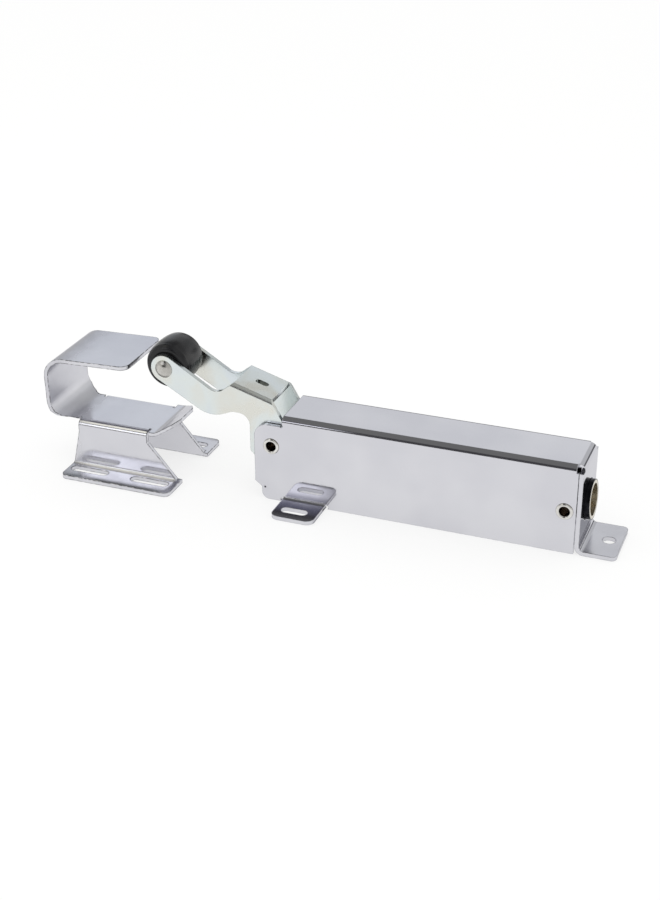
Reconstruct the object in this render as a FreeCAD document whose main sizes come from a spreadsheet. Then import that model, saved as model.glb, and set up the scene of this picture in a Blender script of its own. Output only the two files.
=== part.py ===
import FreeCAD, Part
import math
import os
import re
import Sketcher
from FreeCAD import Placement, Rotation, Vector

doc = FreeCAD.newDocument("door_closer")

# Driving sizes in millimetres and degrees
# x runs along the housing, y across it, z out of the mounting plane
# The origin lies midway between the two side-tab slots
sizes = {
    # Folded housing
    "housing_width": 41.3,
    "housing_height": 62.0,
    "sheet_thick": 2.8,
    "bend_radius": 4.2,
    "wall_left": -34.0,
    "wall_foot": -29.2,
    "foot_step_low": 8.8,
    "foot_step_high": 12.6,
    "foot_corner": 5.0,
    "foot_relief": 0.7,
    "foot_relief_in": 2.3,
    "top_left": -14.0,
    "dome_drop": 6.6,
    "dome_corner": 9.5,
    "slit_radius": 1.1,
    "end_face": 187.0,
    "corner_gap": 0.4,
    "corner_relief": 4.6,
    "ring_clear": 0.6,
    # Side tabs and end tab
    "side_tab_left": -13.8,
    "side_tab_right": 16.2,
    "side_tab_out": 25.0,
    "side_tab_corner": 5.5,
    "tab_bend": 1.4,
    "notch_radius": 1.5,
    "notch_height": 1.3,
    "tab_slot_out": 14.8,
    "tab_slot_length": 18.5,
    "tab_slot_width": 7.0,
    "end_tab_out": 24.0,
    "end_tab_bend": 3.2,
    "end_tab_corner": 3.5,
    "end_hole_out": 15.4,
    "end_hole_radius": 4.4,
    # Hollow rivets
    "pivot_x": -22.0,
    "pivot_z": 40.0,
    "rear_inset": 10.5,
    "rear_z": 29.6,
    "rivet_radius": 4.2,
    "rivet_bore": 3.3,
    "rim_radius": 5.7,
    "rim_height": 1.1,
    "rim_round": 0.7,
    "slip_fit": 0.05,
    # Lever arm, measured from its pivot
    "arm_side_gap": 0.6,
    "arm_thick": 3.0,
    "arm_slope": 32.0,
    "axle_x": -78.1,
    "axle_z": 42.3,
    "eye_radius": 9.4,
    "valley_x": -40.0,
    "valley_z": 29.9,
    "valley_round": 9.0,
    "bridge_left_x": -28.3,
    "bridge_left_z": 39.3,
    "bridge_right_x": -1.2,
    "bridge_right_z": 31.2,
    "bridge_bend_gap": 0.15,
    "bridge_slot_x": -14.2,
    "bridge_slot_length": 9.0,
    "bridge_slot_width": 4.6,
    "shoulder_x": 11.5,
    "shoulder_z": 9.4,
    "lobe_radius": 8.0,
    "heel_x": -16.4,
    "heel_z": -7.4,
    "heel_cut": 3.0,
    "armpit_z": 19.0,
    "armpit_round": 8.0,
    "belly_right_x": -29.0,
    "belly_right_z": 19.0,
    "belly_x": -45.0,
    "belly_z": 12.4,
    "belly_round": 20.0,
    "bush_radius": 6.5,
    "crank_pin_radius": 4.0,
    # Roller
    "roller_radius": 16.3,
    "roller_side_gap": 0.75,
    "roller_round": 3.2,
    "axle_radius": 4.0,
    "axle_head_radius": 6.1,
    "axle_head_height": 2.3,
    "axle_head_flat": 0.35,
    "roller_bush_radius": 6.0,
    "bush_end_gap": 0.1,
    # Strut between the rear rivet and the crank pin
    "strut_tilt": 2.75,
    "crank_lead": 6.0,
    "pin_drop": 0.2,
    "eye_play": 0.5,
    "tube_radius": 12.5,
    "tube_bore": 10.5,
    "tube_start": -118.0,
    "tube_end": -14.0,
    "cap_radius": 13.2,
    "cap_stand_out": 3.6,
    "cap_recess_radius": 10.6,
    "cap_recess_depth": 6.8,
    "cap_flat": 12.5,
    "spacer_radius": 6.7,
    "flat_lead": 2.0,
    "flat_trail": 0.5,
    "spigot_length": 14.0,
    "seal_depth": 1.7,
    "seal_width": 2.2,
    "seal_fit": 0.02,
    "seal_inset": 4.0,
    "gland_flange": 6.0,
    "rod_radius": 4.0,
    "rod_seal_radius": 6.5,
    "rod_seal_width": 4.0,
    "stud_radius": 3.0,
    "piston_rest_gap": 0.4,
    "piston_width": 12.0,
    "piston_ring_width": 2.8,
    "piston_ring_depth": 1.5,
    "piston_nut_flats": 10.0,
    "piston_nut_width": 4.0,
    "rod_eye_radius": 8.5,
    "rod_eye_width": 22.0,
    "eye_neck_radius": 6.0,
    "eye_neck_length": 17.0,
    "rod_engage": 6.0,
    "lock_nut_flats": 13.0,
    "lock_nut_width": 5.0,
    "collar_radius": 11.5,
    "collar_width": 3.0,
    "spring_inner_radius": 7.1,
    "spring_outer_radius": 9.7,
    "spring_wire_thick": 2.2,
    "spring_turns": 6.5,
    "screw_offset": 7.2,
    "screw_head_radius": 3.0,
    "screw_head_height": 2.6,
    "screw_radius": 2.0,
    "screw_length": 19.0,
    "screw_slot_width": 1.0,
    "screw_slot_depth": 1.2,
    # Strike hook
    "hook_left": -187.0,
    "hook_top": 81.8,
    "hook_top_end": -123.5,
    "mouth_rise": 2.0,
    "hook_top_corner": 6.0,
    "hook_plate": 36.0,
    "hook_top_half": 27.3,
    "hook_wall_half": 26.4,
    "hook_plate_half": 23.4,
    "taper_high": 72.0,
    "taper_low": 41.0,
    "neck_half": 15.8,
    "neck_low": 34.2,
    "neck_high": 40.6,
    "top_bend": 15.0,
    "plate_bend": 16.0,
    "lip_gap": 6.5,
    "lip_length": 13.5,
    "lip_rise": 7.0,
    "lip_tip_half": 13.2,
    "lip_bend": 13.0,
    "lip_corner": 4.0,
    "web_notch": 1.4,
    "web_left_low": -171.0,
    "web_left_high": -165.5,
    "web_right_high": -113.0,
    "web_knee_z": 27.5,
    "web_right_low": -92.0,
    "web_bend": 4.6,
    "web_foot_bend": 2.0,
    "flange_right": -88.9,
    "flange_half": 43.6,
    "flange_corner": 4.5,
    "hook_slot_mid": -131.5,
    "hook_slot_pitch": 46.0,
    "hook_slot_half": 31.5,
    "hook_slot_length": 28.5,
    "hook_slot_width": 7.0,
    # Overshoot of cuts
    "margin": 5.0,
    "skim": 1.0,
}

sheet = doc.addObject("Spreadsheet::Sheet", "Sizes")
for row, (name, number) in enumerate(sizes.items(), start=1):
    sheet.set(f"A{row}", name)
    sheet.set(f"B{row}", str(number))
    sheet.setAlias(f"B{row}", name)
doc.recompute()


def linked(text):
    # Point each size name in a formula at its sheet cell
    return re.sub(r"[a-z][a-z_]*", lambda m: "Sizes." + m.group() if m.group() in sizes else m.group(), text)


def value(text):
    return float(sheet.evalExpression(linked(text)))


def bind(item, prop, text):
    item.setExpression(prop, linked(text))


def new_body(label, x="0", z="0", tilt=None):
    body = doc.addObject("PartDesign::Body", label)
    body.Label = label
    if tilt is not None:
        body.Placement = Placement(Vector(), Rotation(Vector(0, 1, 0), value(tilt)))
        bind(body, "Placement.Rotation.Angle", tilt)
    bind(body, "Placement.Base.x", x)
    bind(body, "Placement.Base.z", z)
    return body


def new_sketch(body, role, offset="0"):
    plane = next(item for item in body.Origin.OriginFeatures if item.Role == role)
    sketch = body.newObject("Sketcher::SketchObject", body.Label + "_sketch")
    sketch.AttachmentSupport = [(plane, "")]
    sketch.MapMode = "FlatFace"
    bind(sketch, "AttachmentOffset.Base.z", offset)
    return sketch


def fix_point(sketch, geo, pos, x, y):
    # Tie a point to the sketch origin with one named size per direction
    for kind, axis, text in (("DistanceX", -2, x), ("DistanceY", -1, y)):
        if text == "0":
            sketch.addConstraint(Sketcher.Constraint("PointOnObject", geo, pos, axis))
            continue
        index = sketch.addConstraint(Sketcher.Constraint(kind, -1, 1, geo, pos, value(text)))
        name = f"{kind}_{geo}_{pos}"
        sketch.renameConstraint(index, name)
        bind(sketch, "Constraints." + name, text)


def draw_outline(sketch, points):
    spots = [Vector(value(x), value(y), 0) for x, y in points]
    lines = []
    for here, there in zip(spots, spots[1:] + spots[:1]):
        lines.append(sketch.addGeometry(Part.LineSegment(here, there)))
    for line, following in zip(lines, lines[1:] + lines[:1]):
        sketch.addConstraint(Sketcher.Constraint("Coincident", line, 2, following, 1))
    for line, (x, y) in zip(lines, points):
        fix_point(sketch, line, 1, x, y)


def draw_circle(sketch, x, y, radius):
    centre = Vector(value(x), value(y), 0)
    circle = sketch.addGeometry(Part.Circle(centre, Vector(0, 0, 1), value(radius)))
    index = sketch.addConstraint(Sketcher.Constraint("Radius", circle, value(radius)))
    sketch.renameConstraint(index, f"Radius_{circle}")
    bind(sketch, f"Constraints.Radius_{circle}", radius)
    fix_point(sketch, circle, 3, x, y)


def draw_slot(sketch, x, y, length, width):
    # Slot along the sketch's first direction
    reach = f"({length} - {width}) / 2"
    mid, half, end = Vector(value(x), value(y), 0), value(width) / 2, value(reach)
    left, right = mid - Vector(end, 0, 0), mid + Vector(end, 0, 0)
    rise = Vector(0, half, 0)
    quarter = math.pi / 2
    up = Vector(0, 0, 1)
    arc_left = sketch.addGeometry(Part.ArcOfCircle(Part.Circle(left, up, half), quarter, 3 * quarter))
    arc_right = sketch.addGeometry(Part.ArcOfCircle(Part.Circle(right, up, half), -quarter, quarter))
    low = sketch.addGeometry(Part.LineSegment(left - rise, right - rise))
    high = sketch.addGeometry(Part.LineSegment(right + rise, left + rise))
    for a, end_a, b, end_b in ((arc_left, 2, low, 1), (low, 2, arc_right, 1),
                               (arc_right, 2, high, 1), (high, 2, arc_left, 1)):
        sketch.addConstraint(Sketcher.Constraint("Tangent", a, end_a, b, end_b))
    sketch.addConstraint(Sketcher.Constraint("Equal", arc_left, arc_right))
    index = sketch.addConstraint(Sketcher.Constraint("Radius", arc_left, half))
    sketch.renameConstraint(index, f"Radius_{arc_left}")
    bind(sketch, f"Constraints.Radius_{arc_left}", f"{width} / 2")
    fix_point(sketch, arc_left, 3, f"{x} - {reach}", y)
    fix_point(sketch, arc_right, 3, f"{x} + {reach}", y)


def extrude(body, sketch, length, kind="Pad", both=False, back=False):
    feature = body.newObject("PartDesign::" + kind, f"{body.Label}_{kind.lower()}")
    feature.Profile = sketch
    if both:
        feature.SideType = "Symmetric"
    feature.Reversed = back
    bind(feature, "Length", length)
    doc.recompute()
    return feature


def cut_through(body, sketch, both=False):
    feature = body.newObject("PartDesign::Pocket", body.Label + "_cut")
    feature.Profile = sketch
    if both:
        feature.SideType = "Symmetric"
    feature.Type = "ThroughAll"
    doc.recompute()
    return feature


def revolve(body, sketch):
    feature = body.newObject("PartDesign::Revolution", body.Label + "_turn")
    feature.Profile = sketch
    feature.ReferenceAxis = (sketch, ["H_Axis"])
    feature.Angle = 360
    doc.recompute()
    return feature


def round_edges(body, radius, wanted):
    # Round the edges of the body's last feature whose middle and direction suit
    base = body.Tip
    names = []
    for number, edge in enumerate(base.Shape.Edges, start=1):
        middle = edge.valueAt((edge.FirstParameter + edge.LastParameter) / 2)
        run = edge.tangentAt((edge.FirstParameter + edge.LastParameter) / 2)
        if wanted(middle, run, edge):
            names.append(f"Edge{number}")
    fillet = body.newObject("PartDesign::Fillet", body.Label + "_round")
    fillet.Base = (base, names)
    bind(fillet, "Radius", radius)
    doc.recompute()
    return fillet


def near(a, b, slack=0.05):
    return abs(a - b) < slack


def across(x, z, slack=0.05):
    # Edges that run across the part through one point of its side view
    fx, fz = value(x), value(z)
    return lambda p, d, e: abs(d.y) > 0.99 and near(p.x, fx, slack) and near(p.z, fz, slack)


def along(y, z, left="-1000", right="1000"):
    # Edges that run along the part at one half-width and height, on both sides
    fy, fz, low, high = value(y), value(z), value(left), value(right)
    return lambda p, d, e: abs(d.x) > 0.99 and near(abs(p.y), fy) and near(p.z, fz) and low < p.x < high


def upright(x, y):
    # Edges that stand upright at one corner of the plan, on both sides
    fx, fy = value(x), value(y)
    return lambda p, d, e: abs(d.z) > 0.99 and near(p.x, fx) and near(abs(p.y), fy)


def ring_edges(y, radius):
    # Circles of one radius at one distance to both sides
    fy, around = value(y), value(f"2 * pi * {radius}")
    return lambda p, d, e: near(abs(p.y), fy) and near(e.Length, around)


def turned(label, points, x="0", z="0", tilt=None, role="XZ_Plane"):
    # Solid of revolution from (station, radius) points
    body = new_body(label, x, z, tilt)
    sketch = new_sketch(body, role)
    draw_outline(sketch, points)
    revolve(body, sketch)
    return body


half = "housing_width / 2"
dome = "(housing_height - dome_drop)"
rear_x = "(end_face - rear_inset)"
inside = "(housing_width / 2 - sheet_thick)"

# Housing: inverted channel with a folded end wall
housing = new_body("housing")
channel = new_sketch(housing, "YZ_Plane", "wall_left")
draw_outline(channel, [
    ("-" + half, "0"),
    ("-" + half, "housing_height"),
    (half, "housing_height"),
    (half, "0"),
    (inside, "0"),
    (inside, "housing_height - sheet_thick"),
    ("-" + inside, "housing_height - sheet_thick"),
    ("-" + inside, "0"),
])
extrude(housing, channel, "end_face - sheet_thick - corner_gap - wall_left")
end_inner = "end_face - sheet_thick"
strip_start = "end_face - sheet_thick - 2 * corner_gap"
end_strip = new_sketch(housing, "XZ_Plane")
draw_outline(end_strip, [
    (strip_start, "housing_height"),
    ("end_face", "housing_height"),
    ("end_face", "sheet_thick"),
    ("end_face + end_tab_out", "sheet_thick"),
    ("end_face + end_tab_out", "0"),
    (end_inner, "0"),
    (end_inner, "housing_height - sheet_thick"),
    (strip_start, "housing_height - sheet_thick"),
])
extrude(housing, end_strip, "housing_width", both=True)

# Open relief at the two upper corners of the end wall
corners = new_sketch(housing, "XY_Plane", "housing_height + skim")
for side in ("-", ""):
    draw_outline(corners, [
        ("end_face - corner_relief", f"{side}(housing_width / 2 - corner_relief)"),
        ("end_face + skim", f"{side}(housing_width / 2 - corner_relief)"),
        ("end_face + skim", f"{side}(housing_width / 2 + skim)"),
        ("end_face - corner_relief", f"{side}(housing_width / 2 + skim)"),
    ])
extrude(housing, corners, "corner_relief + skim", kind="Pocket")

# Open arm end: domed walls, stepped foot and relief holes
open_end = new_sketch(housing, "XZ_Plane")
draw_outline(open_end, [
    ("wall_left - margin", dome),
    ("top_left", dome),
    ("top_left", "housing_height + margin"),
    ("wall_left - margin", "housing_height + margin"),
])
draw_outline(open_end, [
    ("wall_left - margin", "-margin"),
    ("wall_foot", "-margin"),
    ("wall_foot", "foot_step_low"),
    ("wall_left", "foot_step_high"),
    ("wall_left - margin", "foot_step_high"),
])
cut_through(housing, open_end, both=True)
round_edges(housing, "dome_corner", across("wall_left", dome))
round_edges(housing, "foot_corner", across("wall_foot", "0"))
round_edges(housing, "bend_radius", along(half, "housing_height"))
round_edges(housing, "bend_radius - sheet_thick", along(inside, "housing_height - sheet_thick"))

# Side tabs folded out of the walls
tabs = new_sketch(housing, "XY_Plane")
for side in ("-", ""):
    draw_outline(tabs, [
        ("side_tab_left", f"{side}(housing_width / 2 - sheet_thick / 2)"),
        ("side_tab_right", f"{side}(housing_width / 2 - sheet_thick / 2)"),
        ("side_tab_right", f"{side}(housing_width / 2 + side_tab_out)"),
        ("side_tab_left", f"{side}(housing_width / 2 + side_tab_out)"),
    ])
extrude(housing, tabs, "sheet_thick")
round_edges(housing, "tab_bend", along(half, "sheet_thick", "side_tab_left", "side_tab_right"))
round_edges(housing, "side_tab_corner", upright("side_tab_right", "housing_width / 2 + side_tab_out"))
round_edges(housing, "side_tab_corner", upright("side_tab_left", "housing_width / 2 + side_tab_out"))
round_edges(housing, "end_tab_corner", upright("end_face + end_tab_out", half))
round_edges(housing, "end_tab_bend", across("end_face", "sheet_thick"))
round_edges(housing, "end_tab_bend + sheet_thick", across(end_inner, "0"))
round_edges(housing, "bend_radius", across("end_face", "housing_height"))

# Holes: rivets, relief notches, slots, end tab and cylinder ring
side_holes = new_sketch(housing, "XZ_Plane")
draw_circle(side_holes, "pivot_x", "pivot_z", "rivet_radius + slip_fit / 2")
draw_circle(side_holes, rear_x, "rear_z", "rivet_radius + slip_fit / 2")
draw_circle(side_holes, "top_left - slit_radius / 2", f"{dome} + slit_radius / 2", "slit_radius")
for x in ("side_tab_left - notch_radius / 2", "side_tab_right + notch_radius / 2"):
    draw_circle(side_holes, x, "notch_height", "notch_radius")
draw_circle(side_holes, "wall_foot + foot_relief_in", "foot_step_low", "foot_relief")
cut_through(housing, side_holes, both=True)
tab_holes = new_sketch(housing, "XY_Plane", "sheet_thick")
for side in ("-", ""):
    draw_slot(tab_holes, "0", f"{side}(housing_width / 2 + tab_slot_out)", "tab_slot_length", "tab_slot_width")
draw_circle(tab_holes, "end_face + end_hole_out", "0", "end_hole_radius")
cut_through(housing, tab_holes)
ring_hole = new_sketch(housing, "YZ_Plane", "end_face + skim")
draw_circle(ring_hole, "0", "rear_z + rear_inset * tan(strut_tilt)", "cap_radius + ring_clear")
extrude(housing, ring_hole, "sheet_thick + 2 * skim", kind="Pocket")

# Hollow rivets through both walls
rim = "(housing_width / 2 + rim_height)"
for label, x, z in (("pivot_rivet", "pivot_x", "pivot_z"), ("rear_rivet", rear_x, "rear_z")):
    rivet = turned(label, [
        (f"rim_round - {rim}", "rivet_bore"),
        ("-" + rim, "rivet_bore + rim_round"),
        ("-" + rim, "rim_radius"),
        ("-" + half, "rim_radius"),
        ("-" + half, "rivet_radius"),
        (half, "rivet_radius"),
        (half, "rim_radius"),
        (rim, "rim_radius"),
        (rim, "rivet_bore + rim_round"),
        (f"{rim} - rim_round", "rivet_bore"),
    ], x, z, role="YZ_Plane")
    round_edges(rivet, "rim_round", ring_edges(rim, "rim_radius"))

# Lever arm: forked channel with a slotted bridge
arm_width = "(housing_width - 2 * sheet_thick - 2 * arm_side_gap)"
arm_gap = "(housing_width - 2 * sheet_thick - 2 * arm_side_gap - 2 * arm_thick)"
axis_gap = f"(pivot_z - rear_z) * cos(strut_tilt) + ({rear_x} - pivot_x) * sin(strut_tilt)"
crank = f"({axis_gap} + pin_drop)"
crank_x = f"({crank} * sin(strut_tilt - crank_lead))"
crank_z = f"(-{crank} * cos(strut_tilt - crank_lead))"
run_x, run_z = "eye_radius * cos(arm_slope)", "eye_radius * sin(arm_slope)"
bridge_drop = "arm_thick / cos(atan((bridge_left_z - bridge_right_z) / (bridge_right_x - bridge_left_x)))"
arm = new_body("lever_arm", "pivot_x", "pivot_z")
plate = new_sketch(arm, "XZ_Plane")
draw_outline(plate, [
    (f"axle_x + {run_z}", f"axle_z + {run_x}"),
    ("valley_x", "valley_z"),
    ("bridge_left_x", "bridge_left_z"),
    ("bridge_right_x", "bridge_right_z"),
    ("shoulder_x", "shoulder_z"),
    (f"{crank_x} + lobe_radius", crank_z),
    (f"{crank_x} - lobe_radius", crank_z),
    ("heel_x + heel_cut", "heel_z - heel_cut"),
    ("heel_x", "heel_z"),
    ("heel_x", "armpit_z"),
    ("belly_right_x", "belly_right_z"),
    ("belly_x", "belly_z"),
    (f"axle_x - {run_z}", f"axle_z - {run_x}"),
])
extrude(arm, plate, arm_width, both=True)
round_edges(arm, "valley_round", across("valley_x", "valley_z"))
round_edges(arm, "armpit_round", across("heel_x", "armpit_z"))
round_edges(arm, "belly_round", across("belly_x", "belly_z"))
round_edges(arm, "valley_round", across("shoulder_x", "shoulder_z"))
for x, z, radius in (("axle_x", "axle_z", "eye_radius"), (crank_x, crank_z, "lobe_radius")):
    disc = new_sketch(arm, "XZ_Plane")
    draw_circle(disc, x, z, radius)
    extrude(arm, disc, arm_width, both=True)
fork_left = "(axle_x - eye_radius - margin)"
fork_right = "(shoulder_x + margin)"
fork_low = f"({crank_z} - lobe_radius - margin)"
fork_high = "(axle_z + eye_radius + margin)"
fork = new_sketch(arm, "XZ_Plane")
draw_outline(fork, [
    (fork_left, fork_low),
    (fork_left, fork_high),
    ("bridge_left_x", fork_high),
    ("bridge_left_x", f"bridge_left_z - {bridge_drop}"),
    ("bridge_right_x", f"bridge_right_z - {bridge_drop}"),
    ("bridge_right_x", fork_high),
    (fork_right, fork_high),
    (fork_right, fork_low),
])
extrude(arm, fork, arm_gap, kind="Pocket", both=True)


def bridge_edges(p, d, e):
    # Long outer edges of the bridge
    rise = value("(bridge_left_z + bridge_right_z) / 2")
    middle_x = value("(bridge_left_x + bridge_right_x) / 2")
    return near(abs(p.y), value(arm_width + " / 2")) and near(p.x, middle_x) and near(p.z, rise)


round_edges(arm, "arm_thick - bridge_bend_gap", bridge_edges)
arm_holes = new_sketch(arm, "XZ_Plane")
draw_circle(arm_holes, "axle_x", "axle_z", "axle_radius")
draw_circle(arm_holes, "0", "0", "bush_radius")
draw_circle(arm_holes, crank_x, crank_z, "crank_pin_radius")
cut_through(arm, arm_holes, both=True)
bridge_slot = new_sketch(arm, "XY_Plane", "axle_z")
draw_slot(bridge_slot, "bridge_slot_x", "0", "bridge_slot_length", "bridge_slot_width")
cut_through(arm, bridge_slot)

# Pieces that turn with the arm
turned("pivot_bush", [
    (f"-{arm_width} / 2", "rivet_radius + slip_fit"),
    (f"-{arm_width} / 2", "bush_radius"),
    (f"{arm_width} / 2", "bush_radius"),
    (f"{arm_width} / 2", "rivet_radius + slip_fit"),
], "pivot_x", "pivot_z", role="YZ_Plane")
turned("crank_pin", [
    (f"-{arm_width} / 2", "0"),
    (f"-{arm_width} / 2", "crank_pin_radius"),
    (f"{arm_width} / 2", "crank_pin_radius"),
    (f"{arm_width} / 2", "0"),
], f"pivot_x + {crank_x}", f"pivot_z + {crank_z}", role="YZ_Plane")
axle_at = ("pivot_x + axle_x", "pivot_z + axle_z")
head = f"({arm_width} / 2 + axle_head_height)"
axle = turned("roller_axle", [
    ("-" + head, "0"),
    ("-" + head, "axle_head_radius"),
    (f"-{arm_width} / 2", "axle_head_radius"),
    (f"-{arm_width} / 2", "axle_radius"),
    (f"{arm_width} / 2", "axle_radius"),
    (f"{arm_width} / 2", "axle_head_radius"),
    (head, "axle_head_radius"),
    (head, "0"),
], *axle_at, role="YZ_Plane")
round_edges(axle, "axle_head_height - axle_head_flat", ring_edges(head, "axle_head_radius"))

# Roller and its sleeve
tyre_end = f"({arm_gap} / 2 - roller_side_gap)"
tyre = turned("roller_tyre", [
    ("-" + tyre_end, "roller_bush_radius"),
    ("-" + tyre_end, "roller_radius"),
    (tyre_end, "roller_radius"),
    (tyre_end, "roller_bush_radius"),
], *axle_at, role="YZ_Plane")
round_edges(tyre, "roller_round", ring_edges(tyre_end, "roller_radius"))
turned("roller_bush", [
    (f"-{arm_gap} / 2 + bush_end_gap", "axle_radius + slip_fit"),
    (f"-{arm_gap} / 2 + bush_end_gap", "roller_bush_radius"),
    (f"{arm_gap} / 2 - bush_end_gap", "roller_bush_radius"),
    (f"{arm_gap} / 2 - bush_end_gap", "axle_radius + slip_fit"),
], *axle_at, role="YZ_Plane")

# Strut pieces share one frame: origin on the rear rivet, axis along the rod
strut_at = (rear_x, "rear_z", "-strut_tilt")
cap_end = "(rear_inset + cap_stand_out)"
spigot = "(tube_bore - slip_fit)"
groove = "(tube_bore - seal_depth)"
cap_groove = "(tube_end - spigot_length + seal_inset)"
cap = turned("rear_cap", [
    ("tube_end - spigot_length", "0"),
    ("tube_end - spigot_length", spigot),
    (cap_groove, spigot),
    (cap_groove, groove),
    (f"{cap_groove} + seal_width", groove),
    (f"{cap_groove} + seal_width", spigot),
    ("tube_end", spigot),
    ("tube_end", "cap_radius"),
    (cap_end, "cap_radius"),
    (cap_end, "cap_recess_radius"),
    (f"{cap_end} - cap_recess_depth", "cap_recess_radius"),
    (f"{cap_end} - cap_recess_depth", "0"),
], *strut_at)
cross_bore = new_sketch(cap, "XZ_Plane")
draw_circle(cross_bore, "0", "0", "rivet_radius + slip_fit")
cut_through(cap, cross_bore, both=True)
flats = new_sketch(cap, "XY_Plane")
for side in ("-", ""):
    draw_outline(flats, [
        ("-spacer_radius - flat_lead", f"{side}cap_flat"),
        ("spacer_radius + flat_trail", f"{side}cap_flat"),
        ("spacer_radius + flat_trail", f"{side}(cap_radius + margin)"),
        ("-spacer_radius - flat_lead", f"{side}(cap_radius + margin)"),
    ])
cut_through(cap, flats, both=True)
screw_bore = new_sketch(cap, "YZ_Plane", cap_end)
draw_circle(screw_bore, "0", "screw_offset", "screw_radius + slip_fit")
extrude(cap, screw_bore, "cap_recess_depth + screw_length + skim", kind="Pocket")

# Rings that centre the cap between the walls
spacers = turned("rear_spacers", [
    ("-" + inside, "rivet_radius + slip_fit"),
    ("-" + inside, "spacer_radius"),
    ("-cap_flat", "spacer_radius"),
    ("-cap_flat", "rivet_radius + slip_fit"),
], rear_x, "rear_z", role="YZ_Plane")
mirror = spacers.newObject("PartDesign::Mirrored", "rear_spacers_mirror")
mirror.Originals = [spacers.Tip]
mirror.MirrorPlane = (next(item for item in spacers.Origin.OriginFeatures if item.Role == "XZ_Plane"), [""])
spacers.AllowCompound = True
spacers.Tip = mirror

# Cylinder
turned("cylinder_tube", [
    ("tube_start", "tube_bore"),
    ("tube_start", "tube_radius"),
    ("tube_end", "tube_radius"),
    ("tube_end", "tube_bore"),
], *strut_at)
gland_groove = "(tube_start + spigot_length / 2)"
turned("front_gland", [
    ("tube_start - gland_flange", "rod_seal_radius"),
    ("tube_start - gland_flange", "tube_radius"),
    ("tube_start", "tube_radius"),
    ("tube_start", spigot),
    (gland_groove, spigot),
    (gland_groove, groove),
    (f"{gland_groove} + seal_width", groove),
    (f"{gland_groove} + seal_width", spigot),
    ("tube_start + spigot_length", spigot),
    ("tube_start + spigot_length", "rod_radius + slip_fit"),
    ("tube_start - gland_flange + rod_seal_width", "rod_radius + slip_fit"),
    ("tube_start - gland_flange + rod_seal_width", "rod_seal_radius"),
], *strut_at)
turned("rod_seal", [
    ("tube_start - gland_flange", "rod_radius + slip_fit"),
    ("tube_start - gland_flange", "rod_seal_radius"),
    ("tube_start - gland_flange + rod_seal_width", "rod_seal_radius"),
    ("tube_start - gland_flange + rod_seal_width", "rod_radius + slip_fit"),
], *strut_at)
for label, start in (("cap_seal", cap_groove), ("gland_seal", gland_groove)):
    turned(label, [
        (f"{start} + seal_fit", f"{groove} + seal_fit"),
        (f"{start} + seal_fit", "tube_bore - seal_fit"),
        (f"{start} + seal_width - seal_fit", "tube_bore - seal_fit"),
        (f"{start} + seal_width - seal_fit", f"{groove} + seal_fit"),
    ], *strut_at)

# Rod, piston and the strut's moving end
eye_x = f"(-(({rear_x} - pivot_x) * cos(strut_tilt) - (pivot_z - rear_z) * sin(strut_tilt)" \
        f" + {crank} * sin(crank_lead)))"
neck_end = f"({eye_x} + eye_neck_length)"
piston_start = "(tube_start + spigot_length + piston_rest_gap)"
piston_end = f"({piston_start} + piston_width)"
turned("piston_rod", [
    (f"{neck_end} - rod_engage", "0"),
    (f"{neck_end} - rod_engage", "rod_radius"),
    (piston_start, "rod_radius"),
    (piston_start, "stud_radius"),
    (f"{piston_end} + piston_nut_width + skim", "stud_radius"),
    (f"{piston_end} + piston_nut_width + skim", "0"),
], *strut_at)
ring_start = f"({piston_start} + (piston_width - piston_ring_width) / 2)"
ring_floor = "(tube_bore - slip_fit - piston_ring_depth)"
turned("piston", [
    (piston_start, "stud_radius"),
    (piston_start, "tube_bore - 2 * slip_fit"),
    (ring_start, "tube_bore - 2 * slip_fit"),
    (ring_start, ring_floor),
    (f"{ring_start} + piston_ring_width", ring_floor),
    (f"{ring_start} + piston_ring_width", "tube_bore - 2 * slip_fit"),
    (piston_end, "tube_bore - 2 * slip_fit"),
    (piston_end, "stud_radius"),
], *strut_at)
turned("piston_ring", [
    (ring_start, ring_floor),
    (ring_start, "tube_bore - slip_fit"),
    (f"{ring_start} + piston_ring_width", "tube_bore - slip_fit"),
    (f"{ring_start} + piston_ring_width", ring_floor),
], *strut_at)
for label, start, width, flats, bore in (
        ("piston_nut", piston_end, "piston_nut_width", "piston_nut_flats", "stud_radius"),
        ("lock_nut", neck_end, "lock_nut_width", "lock_nut_flats", "rod_radius")):
    nut = new_body(label, *strut_at)
    hexagon = new_sketch(nut, "YZ_Plane", start)
    reach = f"{flats} / 2 / cos(30)"
    draw_outline(hexagon, [(f"{reach} * cos({turn})", f"{reach} * sin({turn})") for turn in range(30, 390, 60)])
    draw_circle(hexagon, "0", "0", bore)
    extrude(nut, hexagon, width)
collar_start = f"({neck_end} + lock_nut_width)"
spring_start = f"({collar_start} + collar_width)"
turned("spring_collar", [
    (collar_start, "rod_radius"),
    (collar_start, "collar_radius"),
    (spring_start, "collar_radius"),
    (spring_start, "rod_radius"),
], *strut_at)
eye = turned("rod_eye", [
    (f"{eye_x} + rod_eye_radius / 2", "0"),
    (f"{eye_x} + rod_eye_radius / 2", "eye_neck_radius"),
    (neck_end, "eye_neck_radius"),
    (neck_end, "rod_radius"),
    (f"{neck_end} - rod_engage", "rod_radius"),
    (f"{neck_end} - rod_engage", "0"),
], *strut_at)
eye_ring = new_sketch(eye, "XZ_Plane")
draw_circle(eye_ring, eye_x, "0", "rod_eye_radius")
extrude(eye, eye_ring, "rod_eye_width", both=True)
eye_bore = new_sketch(eye, "XZ_Plane")
draw_circle(eye_bore, eye_x, "0", "crank_pin_radius + eye_play")
cut_through(eye, eye_bore, both=True)

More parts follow.
